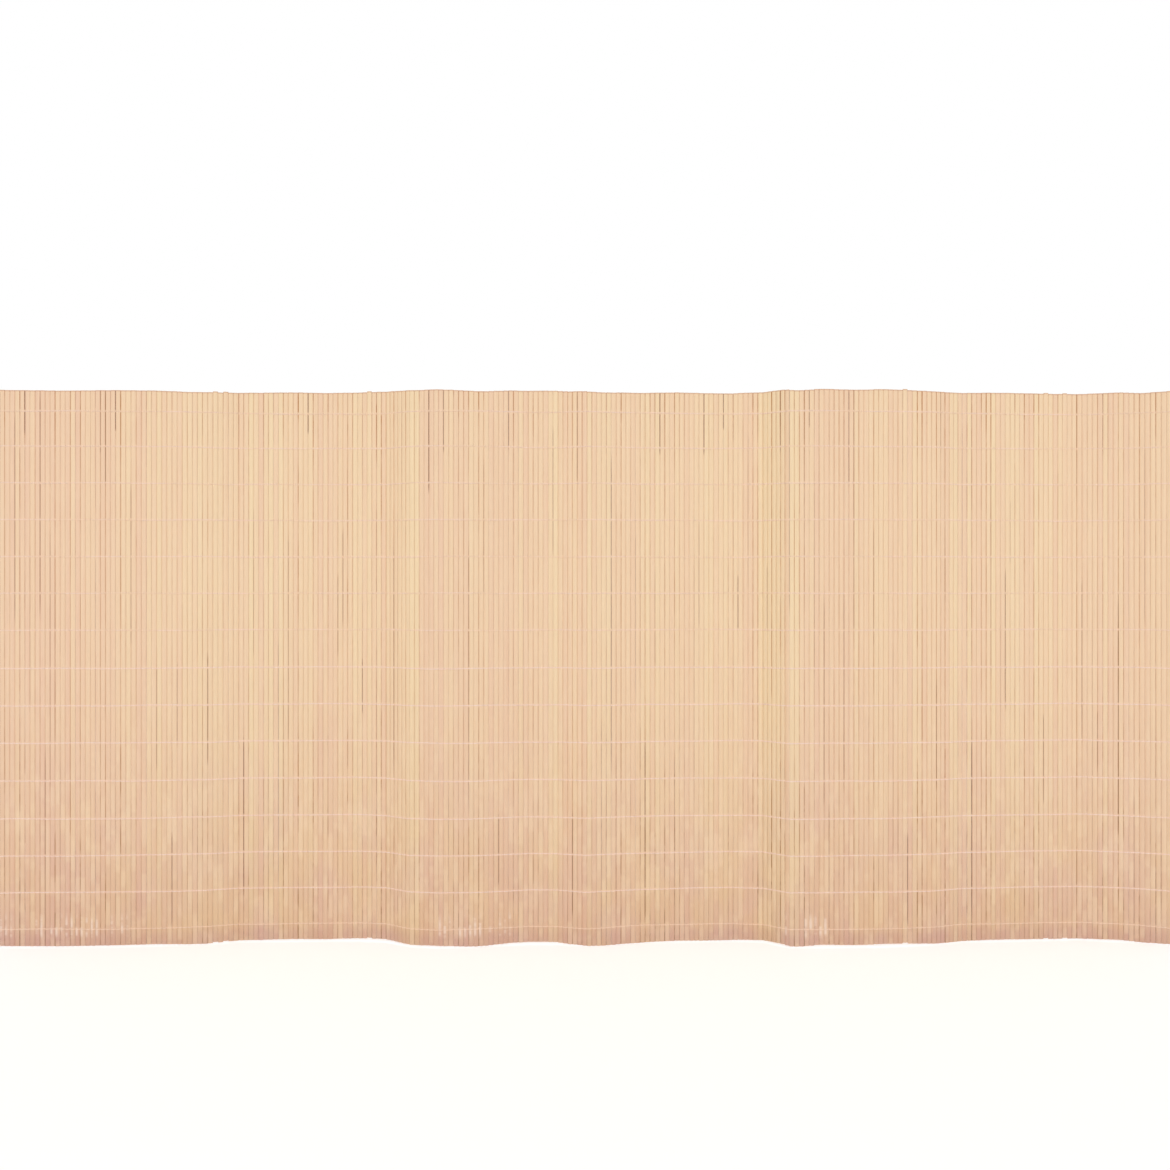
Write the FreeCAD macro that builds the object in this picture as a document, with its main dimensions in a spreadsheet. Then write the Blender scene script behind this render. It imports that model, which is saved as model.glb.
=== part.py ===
import FreeCAD, Part
import Sketcher
import math
import os

# Fence panel of upright hollow slats, bound side by side by level rows of thin cord.
# Millimetres. X runs along the panel, Y through it, Z up. The origin is on the ground,
# in the middle of the panel's footprint. The panel stands in shallow folds, as it does
# when it is unrolled, and it folds only between two slats.

doc = FreeCAD.newDocument("fence_panel")

# Driving dimensions: alias, value, meaning
SIZES = [
    ("slat_length", "1500", "height of the panel"),
    ("slat_width", "13", "slat, from edge to edge"),
    ("slat_thickness", "2.8", "slat, from crest to crest"),
    ("crest_width", "4.2", "flat stretch of a slat that the cords lie on"),
    ("slat_wall", "0.6", "wall between a crest and the hollow"),
    ("edge_land", "1.1", "solid stretch between an edge and the hollow"),
    ("slat_gap", "0.5", "open gap between two slats"),
    ("bundle_slats", "6", "slats in one flat bundle"),
    ("row_count", "15", "rows of cord, from bottom to top"),
    ("row_margin", "50", "from the end of a slat to the nearest row"),
    ("cord_diameter", "1", "thickness of the cord"),
    ("cord_end_gap", "0.3", "between an end slat and the cord that passes round it"),
    ("slat_pitch", "=slat_width + slat_gap", "from slat to slat"),
    ("hollow_width", "=slat_width - 2 * edge_land", "hollow, from edge to edge"),
    ("hollow_height", "=slat_thickness - 2 * slat_wall", "hollow, from crest to crest"),
    ("row_spacing", "=(slat_length - 2 * row_margin) / (row_count - 1)", "from row to row"),
]
sizes = doc.addObject("Spreadsheet::Sheet", "Sizes")
for line, (alias, value, meaning) in enumerate(SIZES, start=1):
    sizes.set(f"A{line}", meaning)
    sizes.set(f"B{line}", value)
    sizes.setAlias(f"B{line}", alias)
doc.recompute()

# The folds, from left to right. Each flat bay has its count of bundles, and the angle in
# degrees by which it turns away from whoever stands in front.
BAY_COUNTS_AND_ANGLES = [
    (4, 1), (3, 5), (1, 17), (4, 2), (1, -8), (1, -30), (1, -9),
    (1, 3), (2, 10), (1, -1), (1, -14), (2, 11), (3, 4), (1, -6), (1, -38),
    (3, 2), (2, 6), (1, 17), (4, 4), (2, -10), (1, -19),
]


def along(heading):
    """Unit vector in plan that points this many degrees away from X."""
    turn = math.radians(heading)
    return FreeCAD.Vector(math.cos(turn), math.sin(turn), 0)


def fold_line():
    """Corners of the panel's middle line in plan, with its left end at X = 0, Y = 0."""
    bundle_length = sizes.bundle_slats * sizes.slat_pitch
    corners = [FreeCAD.Vector(0, 0, 0)]
    for bundles, heading in BAY_COUNTS_AND_ANGLES:
        corners.append(corners[-1] + along(heading) * bundles * bundle_length)
    return corners


def beside(corners, offset, overhang):
    """The fold line moved sideways by offset, with its two ends moved outwards by overhang."""
    headings = [heading for _, heading in BAY_COUNTS_AND_ANGLES]
    moved = []
    for corner, before, after in zip(corners, headings[:1] + headings, headings + headings[-1:]):
        reach = offset / math.cos(math.radians(after - before) / 2)
        moved.append(corner + along((before + after) / 2 + 90) * reach)
    moved[0] -= along(headings[0]) * overhang
    moved[-1] += along(headings[-1]) * overhang
    return moved


def loop(corners, offset, overhang):
    """Closed outline round the whole panel, at one distance from the fold line."""
    front = beside(corners, -offset, overhang)
    back = beside(corners, offset, overhang)
    return Part.makePolygon(front + back[::-1] + front[:1])


# A cord lies on the crests, and passes the edge of each end slat with a small gap.
inner_offset = sizes.slat_thickness / 2
outer_offset = inner_offset + sizes.cord_diameter
inner_overhang = sizes.cord_end_gap - sizes.slat_gap / 2
outer_overhang = inner_overhang + sizes.cord_diameter

# The fold line is placed so that the origin is in the middle of the outermost loop's box.
footprint = loop(fold_line(), outer_offset, outer_overhang).BoundBox
middle = FreeCAD.Vector(footprint.Center.x, footprint.Center.y, 0)
fold_corners = [corner - middle for corner in fold_line()]

ORIGIN = (-1, 1)
X_AXIS = -1
Y_AXIS = -2
START = 1
END = 2


def draw_polygon(sketch, points):
    """Closed outline through the points. Line number i of the result starts at point i."""
    lines = []
    for start, end in zip(points, points[1:] + points[:1]):
        segment = Part.LineSegment(FreeCAD.Vector(*start), FreeCAD.Vector(*end))
        lines.append(sketch.addGeometry(segment))
    for line, following in zip(lines, lines[1:] + lines[:1]):
        sketch.addConstraint(Sketcher.Constraint("Coincident", line, END, following, START))
    return lines


def drive(sketch, kind, first, second, alias):
    """Dimension between the starts of two lines, bound to a cell of the sheet."""
    value = float(sizes.get(alias))
    rule = Sketcher.Constraint(kind, first, START, second, START, value)
    number = sketch.addConstraint(rule)
    sketch.setExpression(f"Constraints[{number}]", f"Sizes.{alias}")


def draw_slat_outside(sketch):
    """Pointed left and right edges, and a flat crest on the front and on the back."""
    half_width = sizes.slat_width / 2
    half_crest = sizes.crest_width / 2
    half_thickness = sizes.slat_thickness / 2
    right, back_right, back_left, left, front_left, front_right = draw_polygon(sketch, [
        (half_width, 0), (half_crest, half_thickness), (-half_crest, half_thickness),
        (-half_width, 0), (-half_crest, -half_thickness), (half_crest, -half_thickness),
    ])
    for rule in [
        ("Symmetric", right, START, left, START, *ORIGIN),
        ("PointOnObject", right, START, X_AXIS),
        ("Symmetric", back_right, START, back_left, START, Y_AXIS),
        ("Symmetric", front_right, START, front_left, START, Y_AXIS),
        ("Symmetric", front_right, START, back_right, START, X_AXIS),
    ]:
        sketch.addConstraint(Sketcher.Constraint(*rule))
    drive(sketch, "DistanceX", left, right, "slat_width")
    drive(sketch, "DistanceX", back_left, back_right, "crest_width")
    drive(sketch, "DistanceY", front_right, back_right, "slat_thickness")


def draw_slat_hollow(sketch):
    """Lozenge inside the slat, thinnest at the edges like the slat itself."""
    half_width = sizes.hollow_width / 2
    half_height = sizes.hollow_height / 2
    right, back, left, front = draw_polygon(sketch, [
        (half_width, 0), (0, half_height), (-half_width, 0), (0, -half_height),
    ])
    for rule in [
        ("Symmetric", right, START, left, START, *ORIGIN),
        ("PointOnObject", right, START, X_AXIS),
        ("Symmetric", back, START, front, START, *ORIGIN),
        ("PointOnObject", back, START, Y_AXIS),
    ]:
        sketch.addConstraint(Sketcher.Constraint(*rule))
    drive(sketch, "DistanceX", left, right, "hollow_width")
    drive(sketch, "DistanceY", front, back, "hollow_height")


def make_bundle(name, start, heading):
    """A flat bundle of separate slats: one hollow slat, padded upwards and repeated along X."""
    body = doc.addObject("PartDesign::Body", name)
    body.Label = name
    body.AllowCompound = True
    section = body.newObject("Sketcher::SketchObject", f"{name}_section")
    plane = next(item for item in body.Origin.OriginFeatures if item.Role == "XY_Plane")
    section.AttachmentSupport = (plane, [""])
    section.MapMode = "FlatFace"
    draw_slat_outside(section)
    draw_slat_hollow(section)

    slat = body.newObject("PartDesign::Pad", f"{name}_slat")
    slat.Profile = section
    slat.setExpression("Length", "Sizes.slat_length")

    row_of_slats = body.newObject("PartDesign::LinearPattern", f"{name}_slats")
    row_of_slats.Originals = [slat]
    row_of_slats.Direction = (section, ["H_Axis"])
    row_of_slats.Mode = "Spacing"
    row_of_slats.setExpression("Offset", "Sizes.slat_pitch")
    row_of_slats.setExpression("Occurrences", "Sizes.bundle_slats")
    body.Tip = row_of_slats

    first_slat = start + along(heading) * sizes.slat_pitch / 2
    upright = FreeCAD.Rotation(FreeCAD.Vector(0, 0, 1), heading)
    body.Placement = FreeCAD.Placement(first_slat, upright)
    return body


def make_bundles():
    """All the slats, bundle by bundle along the fold line."""
    bundles = []
    for corner, (count, heading) in zip(fold_corners, BAY_COUNTS_AND_ANGLES):
        for step in range(count):
            start = corner + along(heading) * step * sizes.bundle_slats * sizes.slat_pitch
            bundles.append(make_bundle(f"slats_{len(bundles) + 1:02d}", start, heading))
    return bundles


def make_binding_plan():
    """Plan of one row: the cord runs along the front and back, and is closed at both ends."""
    plan = doc.addObject("Part::Feature", "binding_plan")
    outer = loop(fold_corners, outer_offset, outer_overhang)
    inner = loop(fold_corners, inner_offset, inner_overhang)
    plan.Shape = Part.makeFace([outer, inner], "Part::FaceMakerBullseye")
    return plan


def make_binding_row(number, plan):
    """One level row of cord: the shared plan, thickened evenly about the row's own height."""
    name = f"binding_row_{number:02d}"
    row = doc.addObject("Part::Extrusion", name)
    row.Label = name
    row.Base = plan
    row.DirMode = "Custom"
    row.Dir = FreeCAD.Vector(0, 0, 1)
    row.Solid = True
    row.Symmetric = True
    row.setExpression("LengthFwd", "Sizes.cord_diameter")
    height = f"Sizes.row_margin + {number - 1} * Sizes.row_spacing"
    row.setExpression("Placement.Base.z", height)
    return row


subparts = make_bundles()
binding_plan = make_binding_plan()
subparts += [make_binding_row(number + 1, binding_plan) for number in range(int(sizes.row_count))]
doc.recompute()

for item in doc.Objects:
    if "Invalid" in item.State or "Error" in item.State:
        raise RuntimeError(f"{item.Name} did not compute: {item.State}")
for subpart in subparts:
    if subpart.Shape.isNull() or not subpart.Shape.isValid():
        raise RuntimeError(f"{subpart.Label} has no valid shape")

os.makedirs("parts", exist_ok=True)
for subpart in subparts:
    subpart.Shape.exportStep(f"parts/{subpart.Label}.step")
    box = subpart.Shape.BoundBox
    extent = f"{box.XLength:.1f} x {box.YLength:.1f} x {box.ZLength:.1f}"
    print(subpart.Label, len(subpart.Shape.Solids), "solids,", extent)
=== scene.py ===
# %% [markdown]
# # A roll-out fence panel of bound slats
# The real panel is a long row of hollow plastic slats, each one lens-shaped in section and as
# tall as the fence. Rows of thin thread bind them side by side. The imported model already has
# every slat and row at its true place, so this lesson reads its folds and gives the panel its
# looks: rounded slats with small irregularities, twined thread, and their finishes.

# %% Load the frame
import math
import random

import bmesh
import bpy
from mathutils import Matrix, Vector


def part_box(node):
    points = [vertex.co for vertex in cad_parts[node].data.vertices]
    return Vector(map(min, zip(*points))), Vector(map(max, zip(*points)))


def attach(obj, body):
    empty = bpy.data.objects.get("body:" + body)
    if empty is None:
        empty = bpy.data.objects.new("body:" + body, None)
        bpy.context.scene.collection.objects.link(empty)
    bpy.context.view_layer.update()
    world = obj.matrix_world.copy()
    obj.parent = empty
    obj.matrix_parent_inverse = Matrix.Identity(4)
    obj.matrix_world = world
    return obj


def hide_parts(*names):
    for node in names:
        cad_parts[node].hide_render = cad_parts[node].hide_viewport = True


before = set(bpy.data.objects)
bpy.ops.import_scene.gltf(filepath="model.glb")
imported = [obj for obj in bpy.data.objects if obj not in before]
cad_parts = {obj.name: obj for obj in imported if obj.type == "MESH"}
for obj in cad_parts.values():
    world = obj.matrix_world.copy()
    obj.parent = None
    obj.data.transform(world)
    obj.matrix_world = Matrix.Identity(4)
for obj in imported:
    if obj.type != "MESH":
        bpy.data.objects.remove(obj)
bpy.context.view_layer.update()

MM = 0.001
BODY = "root"

# %% [markdown]
# ## The camera
# The photograph was taken square to the panel, from about as far away as the panel is long.
# The panel's near folds look 2% taller than its far ones, which gives that distance. The
# horizon, where the rows of thread look level, is in the middle of the picture. A level camera
# at that height needs no tilt and no shift.

# %% Place the camera
CAMERA_DISTANCE = 3.216
CAMERA_HEIGHT = 0.978
VISIBLE_WIDTH = 3.190
SENSOR_WIDTH = 36.0

camera_data = bpy.data.cameras.new("Camera")
camera_data.sensor_width = SENSOR_WIDTH
camera_data.lens = SENSOR_WIDTH * CAMERA_DISTANCE / VISIBLE_WIDTH
camera = bpy.data.objects.new("Camera", camera_data)
camera.location = (0, -CAMERA_DISTANCE, CAMERA_HEIGHT)
camera.rotation_euler = (math.radians(90), 0, 0)
bpy.context.collection.objects.link(camera)
bpy.context.scene.camera = camera
print("lens:", round(camera_data.lens, 1), "mm")

# %% [markdown]
# ## The folds
# An unrolled panel never stands quite straight. It bends between slats, so each bundle of six
# slats is flat and the next one may turn a little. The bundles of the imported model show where:
# the left and right tip of a bundle, read on the ground, give its start and its direction.

# %% Read the folds from the bundles
SLATS_IN_BUNDLE = 6
SLAT_LENGTH = 1500 * MM
SLAT_WIDTH = 13.0 * MM
SLAT_GAP = 0.5 * MM
GROUND = 0.1 * MM


def read_bundle(name):
    """Pitch of the slats, and a matrix that takes (along, back, up) to the bundle's place."""
    corners = [vert.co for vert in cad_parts[name].data.vertices if vert.co.z < GROUND]
    left = min(corners, key=lambda corner: corner.x)
    right = max(corners, key=lambda corner: corner.x)
    along = (right - left).normalized()
    back = Vector((-along.y, along.x, 0))
    start = left - along * SLAT_GAP / 2
    place = Matrix.Translation(start) @ Matrix((along, back, (0, 0, 1))).transposed().to_4x4()
    return ((right - left).length + SLAT_GAP) / SLATS_IN_BUNDLE, place


BUNDLES = sorted(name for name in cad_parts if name.startswith("slats_"))
ROWS = sorted(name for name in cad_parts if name.startswith("binding_row_"))
pitches, PLACES = zip(*[read_bundle(name) for name in BUNDLES])
PITCH = sum(pitches) / len(pitches)
SLAT_COUNT = len(BUNDLES) * SLATS_IN_BUNDLE
PANEL_LENGTH = SLAT_COUNT * PITCH
ROW_HEIGHTS = [(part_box(name)[0].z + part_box(name)[1].z) / 2 for name in ROWS]


def gap_place(index):
    """World place on the ground of the middle of the gap to the left of a slat."""
    bundle = min(index // SLATS_IN_BUNDLE, len(BUNDLES) - 1)
    return PLACES[bundle] @ Vector(((index - bundle * SLATS_IN_BUNDLE) * PITCH, 0, 0))


print("slats:", SLAT_COUNT, "pitch:", round(PITCH / MM, 3), "mm, rows:", len(ROWS))

# %% [markdown]
# ## Small irregularities
# Extruded slats come out slightly different in colour, and the thread lets each one slide, lean
# and turn by a little. These differences are what makes 240 equal slats look real, so they are
# drawn first, once, from a fixed seed, and both the slats and the thread use them. Neighbours
# slide up together, because the thread holds them, so the top edge of the panel runs in slow
# waves. They also differ less in colour than slats further off, because a roll is made from one
# batch after another. Both are given as pairs of metres from the panel's middle and a value:
# millimetres up, and a step in tone, where more is pinker and darker. At the two steepest folds,
# which turn away from the light, the step in tone is painted light: it makes them lighter to
# cancel their shade. In a few stretches, from one place in metres to another, some slats show
# short white painted glints at the foot, where light would show between the slats.

# %% Draw the irregularities
LIFTS = [
    (-1.60, 4), (-1.41, 2.5), (-1.30, 4), (-1.18, 4.5), (-1.06, 2), (-0.92, 4.5), (-0.80, 6),
    (-0.73, 5), (-0.57, 7.5), (-0.46, 4.5), (-0.41, 5), (-0.29, 1.5), (-0.20, 6), (-0.10, 6.5),
    (-0.04, 3), (0.04, 0), (0.12, 1.5), (0.25, 4.5), (0.36, 3), (0.46, 5), (0.53, 6),
    (0.56, 2.5), (0.64, 7), (0.72, 5), (0.80, 7), (1.00, 3), (1.12, 5), (1.33, 3.5), (1.46, 5),
    (1.51, 2), (1.60, 4),
]
# Steps in tone: colour from batch to batch, and painted light at -0.48 and 0.50 m, lighter to cancel
# the folds' shade.
TONE_AND_LIGHT_STEPS = [
    (-1.60, 0.3), (-1.50, 0.5), (-1.40, 0.3), (-1.28, 0.1), (-0.95, -0.1), (-0.56, -0.05),
    (-0.53, 0.1), (-0.48, -0.55), (-0.45, -0.1), (-0.42, 0.18), (-0.36, 0.15), (-0.20, 0.05),
    (-0.09, -0.05), (0.0, 0.0), (0.12, -0.1), (0.45, -0.1), (0.50, -0.8), (0.55, -0.2),
    (0.60, 0.1), (0.80, -0.05), (1.10, -0.05), (1.40, 0.05), (1.60, 0.0),
]
# Stretches where some slats show painted glints at the foot, white as light between the slats.
GLINT_STRETCHES = [(-1.60, -1.54), (-1.49, -1.43), (-1.42, -1.24), (-0.40, -0.20), (0.53, 0.66)]
GLINT_SHARE = 0.75
LIFT_OWN = 0.6 * MM
LOOSE_SHARE = 0.05
LOOSE_LIFT = 2.2 * MM
TURN_OWN = math.radians(2.5)
MIDDLE_TONE = 0.5
TONE_OWN = 0.8
TONE_CENTRING = 1.8
draw = random.Random(41)


def value_at(pairs, place):
    """Value at a distance in metres from the panel's middle, smooth from pair to pair."""
    for (left, before), (right, after) in zip(pairs, pairs[1:]):
        if place <= right:
            share = max(0, (place - left) / (right - left))
            return before + (after - before) * share * share * (3 - 2 * share)
    return pairs[-1][1]


def draw_slat(index):
    """What is special about one slat. Lengths in metres, angles in radians, tones 0 to 1."""
    place = gap_place(index).x
    own_tone = TONE_OWN * (draw.betavariate(TONE_CENTRING, TONE_CENTRING) - 0.5)
    own_lift = LIFT_OWN * draw.random() + (LOOSE_LIFT if draw.random() < LOOSE_SHARE else 0)
    chosen = draw.random() < GLINT_SHARE
    in_stretch = any(low < place < high for low, high in GLINT_STRETCHES)
    return {
        "lift": value_at(LIFTS, place) * MM + own_lift,
        "turn": TURN_OWN * draw.uniform(-1, 1),
        "tone": min(1, max(0, MIDDLE_TONE + own_tone + value_at(TONE_AND_LIGHT_STEPS, place))),
        "painted_glint": float(chosen and in_stretch),
    }


SLATS = [draw_slat(index) for index in range(SLAT_COUNT)]
print("largest lift:", round(max(slat["lift"] for slat in SLATS) / MM, 2), "mm")

# %% [markdown]
# ## The gaps
# Seen from the front, a gap is a thin brown line: painted shade on the edges of the slats beside
# it, where the narrow gap between them lies in shade. Most lines are faint. Here and there a gap
# has one long dark stretch, between two rows of thread or past several of them. Most of these are
# drawn at random.
# The darkest ones are plain to see from far off, so they are listed one by one: metres from the
# panel's middle, height of the stretch's middle, how far it reaches up and down, and its shade.
# A gap isn't quite upright either: it leans, and the edges of both its slats lean with it.

# %% Draw the shade of each gap
# The darkest stretches of painted shade in the gaps: place, height, reach and shade.
DARKEST_GAP_SHADES = [
    (-1.538, 1.16, 0.30, 0.5), (-1.508, 1.46, 0.08, 0.9), (-1.470, 1.20, 0.32, 0.5),
    (-1.456, 0.25, 0.30, 0.45),
    (-1.300, 1.38, 0.14, 0.5), (-1.275, 1.46, 0.07, 0.8), (-1.118, 0.18, 0.13, 0.6),
    (-1.020, 0.64, 0.16, 0.6), (-0.938, 0.34, 0.23, 0.8), (-0.757, 1.46, 0.07, 0.9),
    (-0.662, 1.00, 0.14, 0.4), (-0.613, 0.70, 0.08, 0.5), (-0.518, 0.77, 0.35, 0.55),
    (-0.426, 1.37, 0.15, 1.0), (-0.385, 1.43, 0.10, 0.6), (-0.230, 0.26, 0.10, 0.55),
    (-0.206, 1.43, 0.09, 0.55), (-0.030, 0.22, 0.15, 0.65), (-0.016, 1.38, 0.13, 0.5),
    (0.068, 0.90, 0.46, 0.55), (0.160, 0.31, 0.26, 0.75), (0.201, 1.43, 0.10, 0.8),
    (0.326, 1.43, 0.10, 0.8), (0.380, 1.46, 0.06, 0.7), (0.420, 0.93, 0.08, 0.6),
    (0.529, 1.43, 0.10, 0.5), (0.600, 1.46, 0.06, 0.5), (0.643, 0.66, 0.30, 0.45),
    (0.711, 1.38, 0.14, 0.5), (0.868, 0.18, 0.13, 0.75), (0.955, 0.57, 0.16, 0.5),
    (1.066, 0.31, 0.26, 0.95), (1.153, 0.83, 0.20, 0.6), (1.264, 0.50, 0.13, 0.5),
    (1.367, 0.77, 0.24, 0.4), (1.462, 0.62, 0.35, 0.6),
]
LEAN_OWN = 0.3 * MM
DARK_SHARE = 0.25
DARK_SHADES = (0.08, 0.34)
DARK_HEIGHTS = (0.1, SLAT_LENGTH)
DARK_REACHES = (0.08, 0.4)
FAINTEST, FAINT_RANGE, FAINT_SKEW = 0.05, 0.58, 2.4


def draw_gap():
    """Shades of one gap's line, height and reach of its dark stretch, and how it leans."""
    faint = FAINTEST + FAINT_RANGE * draw.random() ** FAINT_SKEW
    dark = draw.uniform(*DARK_SHADES) if draw.random() < DARK_SHARE else 0
    return {"faint": faint, "dark": dark, "height": draw.uniform(*DARK_HEIGHTS),
            "reach": draw.uniform(*DARK_REACHES),
            "lean_low": LEAN_OWN * draw.uniform(-1, 1), "lean_high": LEAN_OWN * draw.uniform(-1, 1)}


GAPS = [draw_gap() for _ in range(SLAT_COUNT + 1)]
for place, height, reach, shade in DARKEST_GAP_SHADES:
    nearest = min(range(SLAT_COUNT + 1), key=lambda index: abs(gap_place(index).x - place))
    GAPS[nearest].update(dark=shade, height=height, reach=reach)
print("gaps with a dark stretch:", sum(gap["dark"] > 0 for gap in GAPS))

# %% [markdown]
# ## One slat
# In section a slat is an almond: two shallow curves that meet in blunt edges. The edges are soft
# and spread until they almost touch the next slat. It is hollow, and its open ends show a thin
# wall. A circle of 12 corners becomes the almond when each corner's height is multiplied by its
# own size, because that flattens the curve towards both edges. Two such rings, one for the
# outside and one for the hollow, are bridged into a rim, and the rim is extruded to the length of
# the slat. That is 48 faces, few enough to repeat 240 times.

# %% Model one slat
SLAT_THICKNESS = 2.8 * MM
EDGE_SPREAD = 0.2 * MM
HOLLOW_WIDTH = 10.8 * MM
HOLLOW_HEIGHT = 1.6 * MM
RING_CORNERS = 12
SHARP_ANGLE = math.radians(80)


def almond_ring(bm, width, thickness):
    """Closed ring of edges on the ground with blunt ends and a flat stretch on each crest."""
    corners = bmesh.ops.create_circle(bm, segments=RING_CORNERS, radius=1)["verts"]
    half_step = Matrix.Rotation(math.pi / RING_CORNERS, 3, "Z")
    bmesh.ops.rotate(bm, verts=corners, cent=(0, 0, 0), matrix=half_step)
    for corner in corners:
        corner.co.y *= abs(corner.co.y)
    reach = max(corner.co.x for corner in corners)
    rise = max(corner.co.y for corner in corners)
    bmesh.ops.scale(bm, verts=corners, vec=(width / 2 / reach, thickness / 2 / rise, 1))


def model_slat():
    """Mesh of one straight slat that stands on the origin, with its front towards -Y."""
    bm = bmesh.new()
    almond_ring(bm, SLAT_WIDTH + 2 * EDGE_SPREAD, SLAT_THICKNESS)
    almond_ring(bm, HOLLOW_WIDTH, HOLLOW_HEIGHT)
    rim = bmesh.ops.bridge_loops(bm, edges=bm.edges[:])["faces"]
    top = bmesh.ops.extrude_face_region(bm, geom=rim, use_keep_orig=True)["geom"]
    top_verts = [item for item in top if isinstance(item, bmesh.types.BMVert)]
    bmesh.ops.translate(bm, verts=top_verts, vec=(0, 0, SLAT_LENGTH))
    bmesh.ops.recalc_face_normals(bm, faces=bm.faces[:])
    for face in bm.faces:
        face.smooth = True
    for edge in bm.edges:
        edge.smooth = edge.calc_face_angle() < SHARP_ANGLE
    mesh = bpy.data.meshes.new("one_slat")
    bm.to_mesh(mesh)
    bm.free()
    return mesh


ONE_SLAT = model_slat()
print("faces of one slat:", len(ONE_SLAT.polygons))

# %% [markdown]
# ## The bundles
# A bundle is six copies of the slat, each with its own small lift, lean and turn. Some numbers go
# with every point, for the finish to read later: which slat and which gap it belongs to, the
# slat's tone and lift, and what was drawn for the gap beside it. The gap's painted shades are
# stored only at the blunt edges, so they fade towards the crest by themselves. Where a dark
# stretch is and how far it reaches is stored on that half of the slat. Only the left half of a
# slat carries the painted glint at the foot.

# %% Stand the slats in their bundles
SLAT_NUMBERS = ("slat_number", "gap_number", "tone", "lift", "faint_shade", "dark_shade",
                "painted_glint", "dark_height", "dark_reach")
EDGE_FROM = 0.49 * SLAT_WIDTH


def lean_at(index, height, side=0.5):
    """Sideways shift of a slat at one height, from its left edge, side 0, to its right, side 1."""
    share = height / SLAT_LENGTH
    left, right = [gap["lean_low"] * (1 - share) + gap["lean_high"] * share
                   for gap in GAPS[index:index + 2]]
    return left * (1 - side) + right * side


def add_slat(bm, index):
    """Adds slat number index to the bundle in bm, in the bundle's own directions."""
    slat = SLATS[index]
    first = len(bm.verts)
    bm.from_mesh(ONE_SLAT)
    bm.verts.ensure_lookup_table()
    own_number, gap_number, tone, lift, faint, dark, painted_glint, height, reach = [
        bm.verts.layers.float[name] for name in SLAT_NUMBERS]
    added = bm.verts[first:]
    for vert in added:
        beside = index + (1 if vert.co.x > 0 else 0)
        gap = GAPS[beside]
        vert[own_number], vert[gap_number] = index, beside
        vert[tone], vert[lift] = slat["tone"], slat["lift"]
        vert[height], vert[reach] = gap["height"], gap["reach"]
        vert[painted_glint] = slat["painted_glint"] if vert.co.x < 0 else 0
        if abs(vert.co.x) > EDGE_FROM:
            vert[faint], vert[dark] = gap["faint"], gap["dark"]
        vert.co.x += lean_at(index, vert.co.z, vert.co.x / SLAT_WIDTH + 0.5)
    turn = Matrix.Rotation(slat["turn"], 3, "Z")
    bmesh.ops.rotate(bm, verts=added, cent=(0, 0, 0), matrix=turn)
    along = (index % SLATS_IN_BUNDLE + 0.5) * PITCH
    bmesh.ops.translate(bm, verts=added, vec=(along, 0, slat["lift"]))


def model_bundle(number):
    """One bundle as an object that stands for its CAD node."""
    bm = bmesh.new()
    for name in SLAT_NUMBERS:
        bm.verts.layers.float.new(name)
    for step in range(SLATS_IN_BUNDLE):
        add_slat(bm, number * SLATS_IN_BUNDLE + step)
    bmesh.ops.transform(bm, matrix=PLACES[number], verts=bm.verts[:])
    mesh = bpy.data.meshes.new(f"slat_bundle_{number + 1:02d}")
    bm.to_mesh(mesh)
    bm.free()
    bundle = bpy.data.objects.new(mesh.name, mesh)
    bpy.context.collection.objects.link(bundle)
    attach(bundle, BODY)
    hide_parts(BUNDLES[number])
    return bundle


bundle_pieces = [model_bundle(number) for number in range(len(BUNDLES))]
print("bundles:", len(bundle_pieces), "faces each:", len(bundle_pieces[0].data.polygons))

# %% [markdown]
# ## The thread over one slat
# Each row is a pair of threads. On every slat one thread lies in front and the other behind, and
# in every gap they cross, so that the pair twists round the slats like twine. The thread is
# pressed flat on the crest, pinched in the gap, and it sags a little between gaps. Its path over
# one slat is a few points, and a ring of six corners is extruded from point to point. Each corner
# keeps how far along and how far round the thread it is, for the finish.

# %% Model the thread over one slat
THREAD_THICKNESS = 0.9 * MM
THREAD_HEIGHT = 1.8 * MM
PINCHED_THICKNESS = 0.42 * MM
PINCHED_HEIGHT = 0.62 * MM
CROSSING_RISE = 0.34 * MM
THREAD_SAG = 0.45 * MM
THREAD_CORNERS = 6
NEARLY_ZERO = 1e-8
UP = Vector((0, 0, 1))
# From the crest to the edge: distance from the slat's middle, and from its middle plane.
FRONT_PATH = [(1.6 * MM, 1.86 * MM), (4.3 * MM, 1.34 * MM), (6.3 * MM, 0.70 * MM)]


def thread_path():
    """Points of the front thread from the left gap to the right one."""
    right = [Vector((x, -y, 0)) for x, y in FRONT_PATH]
    left = [Vector((-x, -y, 0)) for x, y in reversed(FRONT_PATH)]
    points = [Vector((-PITCH / 2, 0, 0)), *left, *right, Vector((PITCH / 2, 0, 0))]
    for point in points:
        share = 2 * point.x / PITCH
        point.z = share * CROSSING_RISE - THREAD_SAG * (1 - share ** 2)
    return points


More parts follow.
